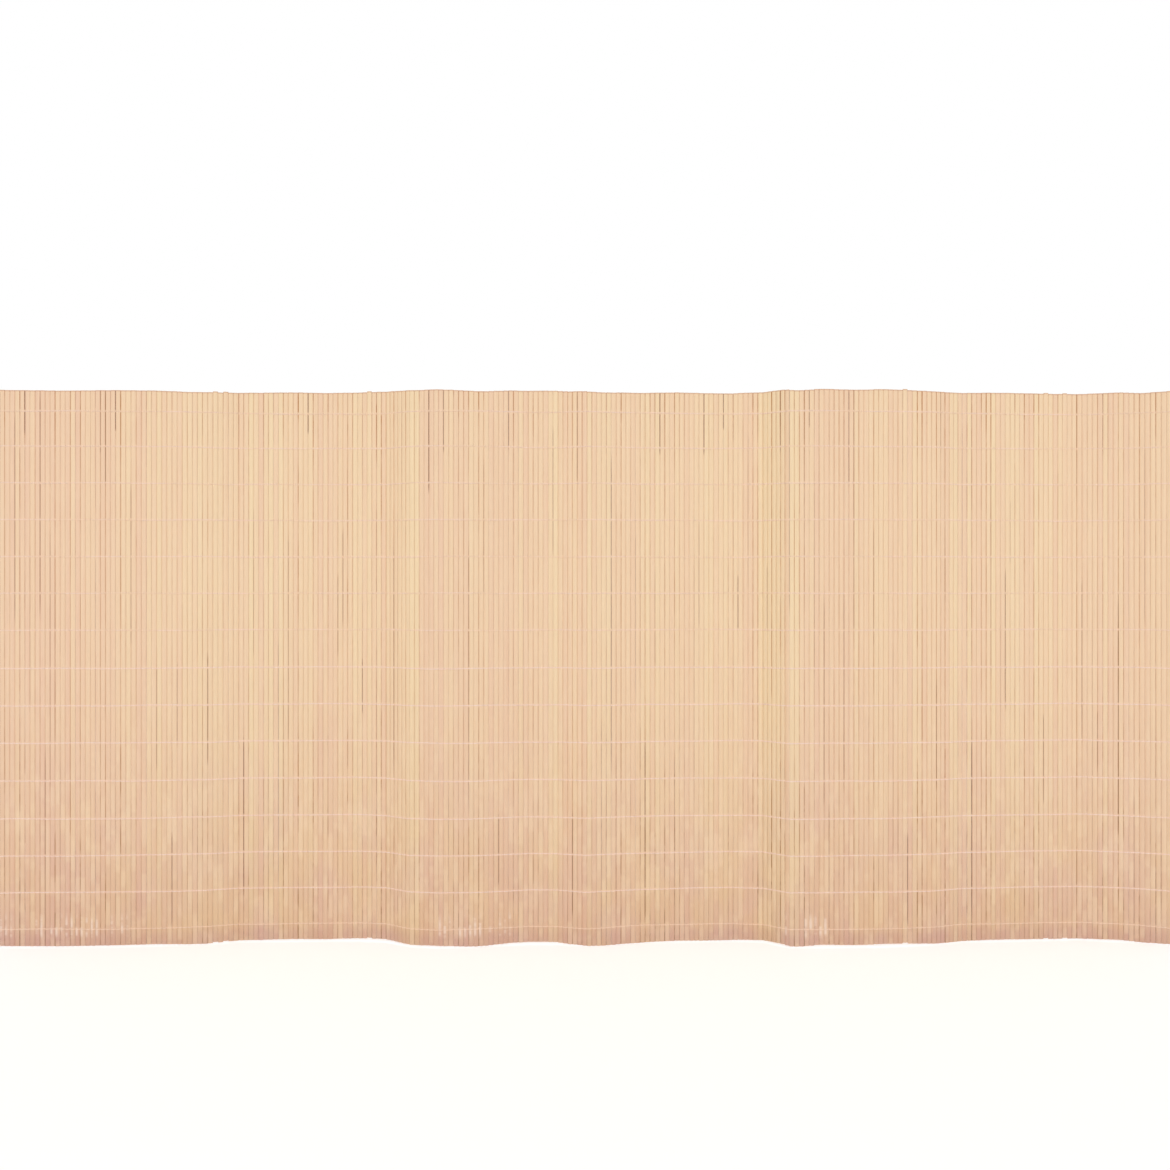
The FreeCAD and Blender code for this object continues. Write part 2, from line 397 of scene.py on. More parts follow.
def sweep(bm, points, thicknesses, heights, level_ends=False):
    """Open tube through the points, with one thickness and one height at each point."""
    along_layer = bm.verts.layers.float["along"]
    round_layer = bm.verts.layers.float["round"]
    ring = bmesh.ops.create_circle(bm, segments=THREAD_CORNERS, radius=0.5)["verts"]
    for corner in ring:
        corner[round_layer] = math.atan2(corner.co.y, corner.co.x) / math.tau % 1
    place = Matrix.Identity(4)
    rings = []
    for number, point in enumerate(points):
        if rings:
            edges = {edge for corner in ring for edge in corner.link_edges
                     if edge.other_vert(corner) in ring}
            grown = bmesh.ops.extrude_edge_only(bm, edges=list(edges))["geom"]
            ring = [item for item in grown if isinstance(item, bmesh.types.BMVert)]
        ahead = points[min(number + 1, len(points) - 1)] - points[max(number - 1, 0)]
        if level_ends and number in (0, len(points) - 1):
            ahead.z = 0
        side = UP.cross(ahead)
        side = side.normalized() if side.length > NEARLY_ZERO else Vector((0, 1, 0))
        axes = Matrix((side, ahead.cross(side).normalized(), ahead.normalized()))
        size = Matrix.Diagonal((thicknesses[number], heights[number], 1, 1))
        new_place = Matrix.Translation(point) @ axes.transposed().to_4x4() @ size
        bmesh.ops.transform(bm, matrix=new_place @ place.inverted(), verts=ring)
        place = new_place
        for corner in ring:
            corner[along_layer] = point.x
        rings.append(ring)
    return rings


def new_thread_bmesh():
    """Empty bmesh with the layers that every length of thread has."""
    bm = bmesh.new()
    for name in ("along", "round", "tone"):
        bm.verts.layers.float.new(name)
    return bm


def model_thread():
    """Mesh of the front thread over one slat, in the slat's own directions."""
    bm = new_thread_bmesh()
    points = thread_path()
    pressed = len(points) - 2
    sweep(bm, points,
          [PINCHED_THICKNESS, *[THREAD_THICKNESS] * pressed, PINCHED_THICKNESS],
          [PINCHED_HEIGHT, *[THREAD_HEIGHT] * pressed, PINCHED_HEIGHT], level_ends=True)
    mesh = bpy.data.meshes.new("one_thread")
    bm.to_mesh(mesh)
    bm.free()
    return mesh


ONE_THREAD = model_thread()
print("faces of the thread over one slat:", len(ONE_THREAD.polygons))

# %% [markdown]
# ## The end of a row
# At each end of the panel the pair is tied off past the last slat. One thread winds round the
# pair, and both tails hang down for about a centimetre. The winding is a short helix, and the
# tails are the same tube on a few more points, made smaller at the tip where it is melted shut.

# %% Model the knot
KNOT_RADIUS = 0.62 * MM
KNOT_TURNS = 1.75
KNOT_STEPS = 8
KNOT_ADVANCE = 0.5 * MM
KNOT_THREAD = 0.62 * MM
TAIL_LENGTHS = [9 * MM, 12.5 * MM]
TAIL_SPREADS = [0.5 * MM, 1.1 * MM]
TAIL_POINTS = 4
TIP_SHARE = 0.6


def tail_points(start, length, spread):
    """Points of a tail that leaves start and hangs down, a little to one side."""
    points = []
    for number in range(1, TAIL_POINTS + 1):
        share = number / TAIL_POINTS
        bend = math.sin(math.pi / 2 * share)
        points.append(start + Vector((-spread * bend, spread * share, -length * share)))
    return points


def model_knot():
    """Mesh of the knot and tails at the left end of a row, with the panel's end at the origin."""
    bm = new_thread_bmesh()
    winding = []
    for step in range(int(KNOT_TURNS * KNOT_STEPS) + 1):
        angle = math.tau * step / KNOT_STEPS
        winding.append(Vector((KNOT_ADVANCE * (angle / math.tau - KNOT_TURNS),
                               KNOT_RADIUS * math.sin(angle), KNOT_RADIUS * math.cos(angle))))
    first = winding + tail_points(winding[-1], TAIL_LENGTHS[0], TAIL_SPREADS[0])
    second = [Vector((0, 0, 0)), Vector((-KNOT_RADIUS, 0, -KNOT_RADIUS / 2))]
    second += tail_points(second[-1], TAIL_LENGTHS[1], TAIL_SPREADS[1])
    for points in (first, second):
        sizes = [KNOT_THREAD] * (len(points) - 1) + [KNOT_THREAD * TIP_SHARE]
        rings = sweep(bm, points, sizes, sizes)
        for ring in (rings[0], rings[-1]):
            bmesh.ops.contextual_create(bm, geom=ring)
    bmesh.ops.recalc_face_normals(bm, faces=bm.faces[:])
    mesh = bpy.data.meshes.new("one_knot")
    bm.to_mesh(mesh)
    bm.free()
    return mesh


ONE_KNOT = model_knot()
print("faces of one knot:", len(ONE_KNOT.polygons))

# %% [markdown]
# ## A whole row
# A row is laid out straight first: the thread over one slat is copied to all of them, turned half
# round on every other slat so that front becomes back, and the ends are welded where two lengths
# meet in a gap. Then each point is carried to its slat's true place. Between two slats a point
# follows both of them by halves, so the thread bends smoothly wherever the panel folds.

# %% Lay out one straight row
WELD = 0.02 * MM
THREAD_TONE_OWN = 0.5
HALF_TURN = 0.5


def add_copy(bm, mesh, turned, shift, tone):
    """Adds a copy of the mesh, turned half round if asked, and moved along the row."""
    first = len(bm.verts)
    bm.from_mesh(mesh)
    bm.verts.ensure_lookup_table()
    added = bm.verts[first:]
    if turned:
        bmesh.ops.rotate(bm, verts=added, cent=(0, 0, 0), matrix=Matrix.Rotation(math.pi, 3, "Z"))
    bmesh.ops.translate(bm, verts=added, vec=(shift, 0, 0))
    along_layer = bm.verts.layers.float["along"]
    round_layer = bm.verts.layers.float["round"]
    tone_layer = bm.verts.layers.float["tone"]
    for vert in added:
        if turned:
            vert[along_layer] *= -1
            vert[round_layer] = (HALF_TURN - vert[round_layer]) % 1
        vert[along_layer] += shift
        vert[tone_layer] = tone


def lay_straight_row():
    """Mesh of the pair of threads along a straight panel that starts at X = 0."""
    bm = new_thread_bmesh()
    for thread in range(2):
        for index in range(SLAT_COUNT):
            tone = MIDDLE_TONE + THREAD_TONE_OWN * draw.uniform(-1, 1)
            add_copy(bm, ONE_THREAD, (index + thread) % 2 == 1, (index + 0.5) * PITCH, tone)
    add_copy(bm, ONE_KNOT, False, 0, MIDDLE_TONE)
    add_copy(bm, ONE_KNOT, True, PANEL_LENGTH, MIDDLE_TONE)
    bmesh.ops.remove_doubles(bm, verts=bm.verts[:], dist=WELD)
    open_ends = [edge for edge in bm.edges if edge.is_boundary]
    bmesh.ops.holes_fill(bm, edges=open_ends, sides=THREAD_CORNERS)
    bmesh.ops.recalc_face_normals(bm, faces=bm.faces[:])
    uv_layer = bm.loops.layers.uv.new("thread")
    along_layer = bm.verts.layers.float["along"]
    round_layer = bm.verts.layers.float["round"]
    for face in bm.faces:
        face.smooth = True
        turns = [loop.vert[round_layer] for loop in face.loops]
        crosses_seam = max(turns) - min(turns) > HALF_TURN
        for loop, turn in zip(face.loops, turns):
            around = turn + 1 if crosses_seam and turn < HALF_TURN else turn
            loop[uv_layer].uv = (loop.vert[along_layer] / THREAD_HEIGHT, around)
    mesh = bpy.data.meshes.new("straight_row")
    bm.to_mesh(mesh)
    bm.free()
    return mesh


STRAIGHT_ROW = lay_straight_row()
print("faces of one row:", len(STRAIGHT_ROW.polygons))

# %% [markdown]
# Each of the fifteen rows is a copy of the straight one, carried to its own height. The rows were
# not bound at quite even heights, which is given below, in millimetres from bottom to top.
# A row doesn't run quite level either: it wanders by a millimetre or two along the panel, and by
# a little from slat to slat.

# %% Carry the rows to their places
HELD_HALF = 6.1 * MM
ROW_SHIFTS = [-1, -2, -3, -3, -1, 1, 2, 3, 6, 6, 5, 5, 4, 3, -2]
ROW_WANDER = 1.6 * MM
ROW_STEP = 0.35 * MM
ROW_PHASE = 53
WANDER_PERIODS = (71, 31, 17)


def wave(index, *periods):
    """Slow wave from -1 to 1 along the panel, the mean of some sines with periods in slats."""
    return sum(math.sin(math.tau * index / period + period) for period in periods) / len(periods)


def on_slat(index, point, height, drift):
    """World place of a thread point that is held by one slat."""
    slat = SLATS[index]
    bundle, step = divmod(index, SLATS_IN_BUNDLE)
    centre = (index + 0.5) * PITCH
    offset = Vector((point.x - centre, point.y, point.z))
    offset = Matrix.Rotation(slat["turn"], 3, "Z") @ offset
    height += drift[index]
    base = Vector(((step + 0.5) * PITCH + lean_at(index, height), 0, height))
    return PLACES[bundle] @ (base + offset)


def carry(point, height, drift):
    """World place of a point of the straight row, blended in a gap between its two slats."""
    index = min(max(int(point.x // PITCH), 0), SLAT_COUNT - 1)
    offset = point.x - (index + 0.5) * PITCH
    other = index + (1 if offset > 0 else -1)
    place = on_slat(index, point, height, drift)
    if abs(offset) <= HELD_HALF or not 0 <= other < SLAT_COUNT:
        return place
    share = (abs(offset) - HELD_HALF) / (PITCH / 2 - HELD_HALF) / 2
    return place.lerp(on_slat(other, point, height, drift), share)


def model_row(number):
    """One row of bound thread as an object that stands for its CAD node."""
    drift = [ROW_SHIFTS[number] * MM
             + ROW_WANDER * wave(index + ROW_PHASE * number, *WANDER_PERIODS)
             + ROW_STEP * draw.uniform(-1, 1) for index in range(SLAT_COUNT)]
    mesh = STRAIGHT_ROW.copy()
    mesh.name = f"thread_row_{number + 1:02d}"
    for vert in mesh.vertices:
        vert.co = carry(vert.co, ROW_HEIGHTS[number], drift)
    row = bpy.data.objects.new(mesh.name, mesh)
    bpy.context.collection.objects.link(row)
    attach(row, BODY)
    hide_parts(ROWS[number])
    return row


row_pieces = [model_row(number) for number in range(len(ROWS))]
print("rows:", len(row_pieces), "at heights", [round(height, 3) for height in ROW_HEIGHTS])

# %% [markdown]
# ## Helpers for the finishes
# A material is a small graph of nodes. These helpers add a node, a mix or a sum in one line each,
# and turn a colour read as three 8-bit numbers into the linear one that shaders use.

# %% Helpers for nodes and colours
MIX_FACTOR, MIX_FIRST, MIX_SECOND, MIX_RESULT = 0, 6, 7, 2


def linear(red, green, blue):
    """Linear colour of an 8-bit one."""
    parts = [channel / 255 for channel in (red, green, blue)]
    return (*[part / 12.92 if part <= 0.04045 else ((part + 0.055) / 1.055) ** 2.4
              for part in parts], 1.0)


def set_input(tree, node, name, value):
    """Sets or links one input, by name or number."""
    if isinstance(value, bpy.types.NodeSocket):
        tree.links.new(value, node.inputs[name])
    else:
        node.inputs[name].default_value = value


def add_node(tree, kind, **inputs):
    """New node. Each input is a plain value, or an output of another node to link to."""
    node = tree.nodes.new(kind)
    for name, value in inputs.items():
        set_input(tree, node, name.replace("_", " "), value)
    return node


def mix_colours(tree, factor, first, second, blend="MIX"):
    """Output of a colour Mix node."""
    node = tree.nodes.new("ShaderNodeMix")
    node.data_type = "RGBA"
    node.blend_type = blend
    set_input(tree, node, MIX_FACTOR, factor)
    set_input(tree, node, MIX_FIRST, first)
    set_input(tree, node, MIX_SECOND, second)
    return node.outputs[MIX_RESULT]


def paint(tree, under, amount, colour, blend="MIX"):
    """Lays an 8-bit colour over what is under it, by an amount from 0 to 1."""
    return mix_colours(tree, amount, under, linear(*colour), blend)


def new_material(name):
    """Material with a Principled shader: the material, its tree and the shader's inputs."""
    material = bpy.data.materials.new(name)
    material.use_nodes = True
    return material, material.node_tree, material.node_tree.nodes["Principled BSDF"].inputs


print("slat colour in linear light:", [round(part, 2) for part in linear(237, 205, 170)[:3]])

# %% Helpers for sums
def calculate(tree, operation, *values, clamp=False):
    """Output of a Math node with the given values or links."""
    node = tree.nodes.new("ShaderNodeMath")
    node.operation = operation
    node.use_clamp = clamp
    for number, value in enumerate(values):
        set_input(tree, node, number, value)
    return node.outputs[0]


def product(tree, first, *others):
    """All the values multiplied with each other."""
    for other in others:
        first = calculate(tree, "MULTIPLY", first, other)
    return first


def one_minus(tree, value):
    """What is left of 1."""
    return calculate(tree, "SUBTRACT", 1.0, value)


def between(tree, share, start, end):
    """Goes evenly from start to end as the share goes from 0 to 1."""
    return calculate(tree, "MULTIPLY_ADD", share, calculate(tree, "SUBTRACT", end, start), start)


def smooth_step(tree, value, start, end):
    """Goes smoothly from 0 to 1 as the value goes from start to end."""
    node = tree.nodes.new("ShaderNodeMapRange")
    node.interpolation_type = "SMOOTHSTEP"
    for name, part in (("Value", value), ("From Min", start), ("From Max", end)):
        set_input(tree, node, name, part)
    return node.outputs["Result"]


def read_number(tree, name):
    """Output of a number that is stored on the points of the mesh."""
    node = tree.nodes.new("ShaderNodeAttribute")
    node.attribute_name = name
    return node.outputs["Fac"]


def object_place(tree):
    """Separate X, Y and Z outputs of the place on the object, in metres."""
    place = tree.nodes.new("ShaderNodeTexCoord").outputs["Object"]
    return add_node(tree, "ShaderNodeSeparateXYZ", Vector=place).outputs


print("stored numbers:", ", ".join(SLAT_NUMBERS))

# %% [markdown]
# ## Shared node groups
# Three effects are placed many times with other values, or by both finishes, so each is a node
# group with named inputs. Long streaks run up and down, as extrusion leaves them, and they don't
# stop at a slat's edge. Dashes change along the height only, and each slat or gap has its own, so
# they end sharply at its edge. Row fading says how plain the rows of thread are to see. High up
# they have faded, and in some patches there they are worn nearly away.

# %% Group of long streaks
def new_group(name, inputs, output):
    """Empty group with named inputs, given as name and default, and one named output."""
    group = bpy.data.node_groups.new(name, "ShaderNodeTree")
    for socket, default in inputs.items():
        made = group.interface.new_socket(socket, in_out="INPUT", socket_type="NodeSocketFloat")
        made.default_value = default
    group.interface.new_socket(output, in_out="OUTPUT", socket_type="NodeSocketFloat")
    result = group.nodes.new("NodeGroupOutput").inputs[output]
    return group, group.nodes.new("NodeGroupInput").outputs, result


def place_group(tree, group, **inputs):
    """Output of a group that is placed in a tree with values of its own."""
    node = tree.nodes.new("ShaderNodeGroup")
    node.node_tree = group
    for name, value in inputs.items():
        set_input(tree, node, name, value)
    return node.outputs[0]


def make_streaks():
    """Noise that is stretched upwards. The scales are in repeats per metre."""
    group, given, result = new_group(
        "Long streaks", {"Across": 400.0, "Upwards": 4.0, "Detail": 2.0, "Seed": 0.0}, "Mask")
    x, y, z = object_place(group)
    stretched = add_node(group, "ShaderNodeCombineXYZ",
                         X=product(group, x, given["Across"]), Y=product(group, y, given["Across"]),
                         Z=product(group, z, given["Upwards"])).outputs[0]
    noise = group.nodes.new("ShaderNodeTexNoise")
    noise.noise_dimensions = "4D"
    for name, part in (("Vector", stretched), ("W", given["Seed"]), ("Detail", given["Detail"]),
                       ("Scale", 1.0)):
        set_input(group, noise, name, part)
    group.links.new(noise.outputs[0], result)
    return group


STREAKS = make_streaks()


def streaks(tree, across, upwards, seed, detail=2.0):
    """Mask of long streaks, placed in a tree."""
    return place_group(tree, STREAKS, Across=across, Upwards=upwards, Seed=seed, Detail=detail)


print("group:", STREAKS.name)

# %% Group of dashes
NUMBER_STEP = 7.3
OFF_GRID = 0.5


def make_dashes():
    """Noise along the height only. Each number reads it at a place of its own."""
    group, given, result = new_group(
        "Dashes", {"Number": 0.0, "Upwards": 12.0, "Detail": 3.0}, "Mask")
    place = add_node(group, "ShaderNodeCombineXYZ", X=product(group, given["Number"], NUMBER_STEP),
                     Y=OFF_GRID, Z=product(group, object_place(group)[2], given["Upwards"]))
    noise = add_node(group, "ShaderNodeTexNoise", Vector=place.outputs[0],
                     Detail=given["Detail"], Scale=1.0)
    group.links.new(noise.outputs[0], result)
    return group


DASHES = make_dashes()


def dashes(tree, number, upwards, detail):
    """Mask of dashes, placed in a tree. The number is the name of one that the mesh stores."""
    return place_group(tree, DASHES, Number=read_number(tree, number), Upwards=upwards, Detail=detail)


print("group:", DASHES.name)

# %% Group of the rows' fading
FADED_FROM, FADED_ABOVE = 0.76, 0.86
# Heights where the painted shade at the foot makes the rows fainter, and how much of a row is left.
FOOT_SHADE_FROM, FOOT_SHADE_BELOW = 0.14, 0.06
LEFT_OF_SHADED_ROW = 0.35


def make_row_fading():
    """Strength of a row: one value low down, one high up, less where worn and at the foot."""
    group, given, result = new_group(
        "Row fading", {"Low": 1.0, "High": 0.6, "Worn": 0.75}, "Strength")
    height = object_place(group)[2]
    upper = smooth_step(group, height, FADED_FROM, FADED_ABOVE)
    shaded = smooth_step(group, height, FOOT_SHADE_FROM, FOOT_SHADE_BELOW)
    patches = smooth_step(group, streaks(group, across=9.0, upwards=14.0, seed=8.0), 0.48, 0.58)
    strength = product(group, between(group, upper, given["Low"], given["High"]),
                       between(group, shaded, 1.0, LEFT_OF_SHADED_ROW),
                       one_minus(group, product(group, patches, upper, given["Worn"])))
    group.links.new(strength, result)
    return group


ROW_FADING = make_row_fading()


def row_fading(tree, low, high, worn):
    """Strength of the rows, placed in a tree."""
    return place_group(tree, ROW_FADING, Low=low, High=high, Worn=worn)


print("group:", ROW_FADING.name)

# %% [markdown]
# ## The slat's finish
# The plastic is satin, and it is dyed to look like split cane: cream on one slat, sand or pink on
# the next. Each slat's tone picks a colour from a ramp, and streaks lighten and darken it along
# its length. Towards the foot it is darkened with painted shade, where less light reaches low
# down, in yellowish and mauve patches of colour, and darkest in a strip at the very foot. Single
# slats show paler dashes, and more so low down.

# %% Dye and stain the plastic
TONE_COLOURS = [(247, 221, 180), (245, 213, 177), (241, 204, 174)]
LIGHT_STREAK = (248, 223, 186)
LIGHT_AMOUNT = 0.3
DARK_STREAK = (215, 170, 136)
DARK_AMOUNT = 0.22
# Tints that darken the foot as painted shade, in yellowish and mauve patches and in the strip at the
# foot.
YELLOW_FOOT_SHADE = (236, 226, 220)
MAUVE_FOOT_SHADE = (234, 223, 231)
FOOT_STRIP_SHADE = (245, 240, 248)
PALE_DASH = (250, 224, 188)
FOOT_SHADE_TOP = 1.15
FOOT_SHADE_UNEVEN = 0.25
FOOT_SHADE_POWER = 2.4
# Heights at which an effect begins and is complete, in metres.
LOW_DOWN = (0.75, 0.25)
FOOT_STRIP = (0.055, 0.02)
# High up, and low down.
PALE_AMOUNTS = (0.1, 0.28)


def dye(tree, fine):
    """Colour by the slat's own tone, with broad light streaks and fine dark ones."""
    ramp = add_node(tree, "ShaderNodeValToRGB", Fac=read_number(tree, "tone"))
    elements = ramp.color_ramp.elements
    elements.new(MIDDLE_TONE)
    for element, colour in zip(elements, TONE_COLOURS):
        element.color = linear(*colour)
    broad = smooth_step(tree, streaks(tree, across=90.0, upwards=2.2, seed=1.0), 0.3, 0.7)
    colour = paint(tree, ramp.outputs["Color"], product(tree, broad, LIGHT_AMOUNT), LIGHT_STREAK)
    return paint(tree, colour, product(tree, fine, DARK_AMOUNT), DARK_STREAK)


def foot_shade_mask(tree):
    """1 at the foot of the panel, 0 above the top of the painted shade, which is uneven."""
    patches = streaks(tree, across=18.0, upwards=5.0, seed=5.0, detail=3.0)
    uneven = product(tree, calculate(tree, "SUBTRACT", patches, 0.5), FOOT_SHADE_UNEVEN)
    share = calculate(tree, "DIVIDE", calculate(tree, "ADD", object_place(tree)[2], uneven), FOOT_SHADE_TOP)
    mask = calculate(tree, "SUBTRACT", 1.0, share, clamp=True)
    return calculate(tree, "POWER", mask, FOOT_SHADE_POWER)


def add_foot_shade_and_dashes(tree, colour, foot_shade):
    """Darkens the colour towards the foot with painted shade, and lightens single slats in dashes."""
    height = object_place(tree)[2]
    mauve = smooth_step(tree, streaks(tree, across=9.0, upwards=6.0, seed=10.0), 0.35, 0.65)
    tint = mix_colours(tree, mauve, linear(*YELLOW_FOOT_SHADE), linear(*MAUVE_FOOT_SHADE))
    colour = mix_colours(tree, foot_shade, colour, tint, blend="MULTIPLY")
    colour = paint(tree, colour, smooth_step(tree, height, *FOOT_STRIP), FOOT_STRIP_SHADE, blend="MULTIPLY")
    pale = smooth_step(tree, dashes(tree, "slat_number", upwards=12.0, detail=3.0), 0.48, 0.62)
    most = between(tree, smooth_step(tree, height, *LOW_DOWN), *PALE_AMOUNTS)
    return paint(tree, colour, product(tree, pale, most), PALE_DASH)


print("tones:", len(TONE_COLOURS), "stained below", FOOT_SHADE_TOP, "m")

# %% [markdown]
# The thread breaks the lines of the gaps, because it holds the slats apart there, and a pale band
# of painted light lies beside it, which widens the row's bright line. Both happen at the height of
# a row, so the finish has to know where the rows are. The distance to the nearest even row comes
# from a ping-pong sum, and a curve moves each row to where it really was bound.

# %% Find the rows
ROW_SPACING = ROW_HEIGHTS[1] - ROW_HEIGHTS[0]
CURVE_RANGE = 20 * MM
NO_SHIFT = 0.5


def row_shift(tree, height):
    """How far the rows near a height were bound from their even places, read from a curve."""
    node = add_node(tree, "ShaderNodeFloatCurve", Value=calculate(tree, "DIVIDE", height, SLAT_LENGTH))
    curve = node.mapping.curves[0]
    for row_height, shift in zip(ROW_HEIGHTS, ROW_SHIFTS):
        curve.points.new(row_height / SLAT_LENGTH, NO_SHIFT + shift * MM / CURVE_RANGE)
    for end in (curve.points[0], curve.points[-1]):
        end.location.y = NO_SHIFT
    node.mapping.update()
    return product(tree, calculate(tree, "SUBTRACT", node.outputs[0], NO_SHIFT), CURVE_RANGE)


def near_row(tree, reach):
    """1 at a row of thread, 0 further from it than the reach."""
    height = object_place(tree)[2]
    even = calculate(tree, "SUBTRACT", height, row_shift(tree, height))
    distance = calculate(tree, "PINGPONG", calculate(tree, "SUBTRACT", even, ROW_HEIGHTS[0]),
                         ROW_SPACING / 2)
    return smooth_step(tree, distance, reach, 0.0)


print("row spacing:", round(ROW_SPACING / MM, 1), "mm")

# %% [markdown]
# A gap's line of painted shade is laid on the edges of its two slats. The faint part of it is
# broken into dashes, shorter and further apart low down, and it is twice as strong near the top.
# The dark stretch is painted over it. Both end just below the end of the slat, which slid up a
# little, so the height is measured on the slat itself.

# %% Paint the shade in the gaps
# Colours of the painted shade in the gaps: faint, faint where the foot is darker, and dark.
LINE_SHADE_BROWN = (184, 108, 16)
LOW_LINE_SHADE_BROWN = (140, 86, 8)
DARK_SHADE_BROWN = (134, 66, 24)
LINE_POWER = 0.8
NEAR_TOP = (1.28, 1.49)
# Strength of the faint line high up, and low down.
IN_DASHES = (1.0, 1.55)
BETWEEN_DASHES = (0.25, 0.05)
LEFT_IN_BREAKS = 0.35
BROKEN_AT_ROW = 6 * MM
BARE_END = 3 * MM
FULL_SHARE_OF_REACH = 0.8


def faint_gap_shade(tree):
    """Shade of the faint line, with its long dashes and, low down, short breaks as well."""
    height = object_place(tree)[2]
    low_down = smooth_step(tree, height, *LOW_DOWN)
    long_dashes = smooth_step(tree, dashes(tree, "gap_number", upwards=8.0, detail=4.0), 0.38, 0.62)
    strength = between(tree, long_dashes, between(tree, low_down, *BETWEEN_DASHES),
                       between(tree, low_down, *IN_DASHES))
    breaks = smooth_step(tree, dashes(tree, "gap_number", upwards=26.0, detail=2.0), 0.56, 0.40)
    unbroken = between(tree, product(tree, breaks, low_down), 1.0, LEFT_IN_BREAKS)
    doubled = between(tree, smooth_step(tree, height, *NEAR_TOP), 1.0, 2.0)
    return product(tree, read_number(tree, "faint_shade"), strength, unbroken, doubled)


def dark_gap_shade(tree):
    """Shade of the dark stretch, which ends softly above and below its middle."""
    away = calculate(tree, "SUBTRACT", object_place(tree)[2], read_number(tree, "dark_height"))
    reach = read_number(tree, "dark_reach")
    inside = smooth_step(tree, calculate(tree, "ABSOLUTE", away), reach,
                         product(tree, reach, FULL_SHARE_OF_REACH))
    return product(tree, read_number(tree, "dark_shade"), inside)


def add_gap_shade(tree, colour, foot_shade, to_end):
    """Paints both gap shades, browner where the foot is painted darker, and lets the rows break them.
    """
    shown = product(tree, one_minus(tree, near_row(tree, BROKEN_AT_ROW)),
                    smooth_step(tree, to_end, 0.0, BARE_END))
    faint_shade_colour = mix_colours(tree, foot_shade, linear(*LINE_SHADE_BROWN), linear(*LOW_LINE_SHADE_BROWN))
    for shade, brown in ((faint_gap_shade(tree), faint_shade_colour), (dark_gap_shade(tree), linear(*DARK_SHADE_BROWN))):
        depth = calculate(tree, "POWER", product(tree, shade, shown), LINE_POWER, clamp=True)
        colour = mix_colours(tree, depth, colour, brown)
    return colour


print("lines break", BROKEN_AT_ROW / MM, "mm above and below each row")

# %% [markdown]
# Last come painted light and the cut: a pale band of painted light along each row, short white
# painted glints at the foot of some slats, and a darker rim where the slat was cut to length. A
# fine bump along the slat and an uneven roughness make the gloss run in soft lines.

# %% Finish the slats
# Painted light: a paler band beside each row, which widens the row's bright line.
ROW_BAND_LIGHT = (252, 218, 196)
# Painted glints: white at the foot of some slats, as light between them.
GLINT_WHITE = (255, 236, 222)
GLINT_AMOUNT = 0.5
CUT_END = (196, 140, 112)
CUT_AMOUNT = 0.5
ROW_BAND_REACH = 5 * MM
GLINT_START = (0.02, 0.04)
GLINT_END = (0.10, 0.06)
CUT_RIM = (5 * MM, 1 * MM)
SLAT_ROUGHNESS = (0.42, 0.56)
SLAT_GLOSS = 0.4


def add_row_light_glints_and_cut_rim(tree, colour, to_end):
    """Painted light along the rows, painted white glints at the foot, and a darker rim at the upper
    end.
    """
    height = object_place(tree)[2]
    beside = product(tree, near_row(tree, ROW_BAND_REACH),
                     row_fading(tree, low=0.38, high=0.32, worn=0.6))
    colour = paint(tree, colour, beside, ROW_BAND_LIGHT)
    # Painted glints: short white strokes at the foot of the chosen slats.
    glints = smooth_step(tree, dashes(tree, "slat_number", upwards=45.0, detail=3.0), 0.40, 0.60)
    glints = product(tree, glints, smooth_step(tree, height, *GLINT_END),
                    smooth_step(tree, height, *GLINT_START), read_number(tree, "painted_glint"), GLINT_AMOUNT)
    colour = paint(tree, colour, glints, GLINT_WHITE)
    cut = product(tree, smooth_step(tree, to_end, *CUT_RIM), CUT_AMOUNT)
    return paint(tree, colour, cut, CUT_END)


def make_slat_finish():
    """Satin plastic dyed like split cane."""
    material, tree, surface = new_material("Cane-coloured plastic")
    fine = smooth_step(tree, streaks(tree, across=900.0, upwards=6.0, seed=2.0), 0.35, 0.75)
    foot_shade = foot_shade_mask(tree)
    own_height = calculate(tree, "SUBTRACT", object_place(tree)[2], read_number(tree, "lift"))
    to_end = calculate(tree, "SUBTRACT", SLAT_LENGTH, own_height)
    colour = add_foot_shade_and_dashes(tree, dye(tree, fine), foot_shade)
    colour = add_gap_shade(tree, colour, foot_shade, to_end)
    tree.links.new(add_row_light_glints_and_cut_rim(tree, colour, to_end), surface["Base Color"])

    tree.links.new(between(tree, fine, *SLAT_ROUGHNESS), surface["Roughness"])
    surface["Specular IOR Level"].default_value = SLAT_GLOSS
    grooves = streaks(tree, across=1600.0, upwards=9.0, seed=4.0)
    bump = add_node(tree, "ShaderNodeBump", Height=grooves, Strength=0.25, Distance=0.2 * MM)
    tree.links.new(bump.outputs["Normal"], surface["Normal"])
    return material


slat_finish = make_slat_finish()
for piece in bundle_pieces:
    piece.data.materials.append(slat_finish)
print("slat finish:", len(slat_finish.node_tree.nodes), "nodes")

# %% [markdown]
# ## The thread's finish
# The thread is a pale pink twisted yarn. Its plies show as slanting ridges, drawn from how far
# along and how far round the thread each point is. The valleys between the plies are painted a
# little darker, as painted shade. The upper rows have faded towards the colour of the slats, in
# the same patches in which the slats beside them have.

# %% Finish the thread
THREAD_PALE = (255, 233, 222)
THREAD_PINK = (255, 224, 211)
THREAD_FADED = (248, 216, 186)
# Painted shade in the valleys between the plies.
PLY_VALLEY_SHADE = (220, 180, 168)
VALLEY_SHADE_AMOUNT = 0.1
THREAD_FUZZ = (226, 190, 176)
FUZZ_AMOUNT = 0.1
PLIES = 2.0
THREAD_ROUGHNESS = (0.6, 0.85)
THREAD_SHEEN = 0.15


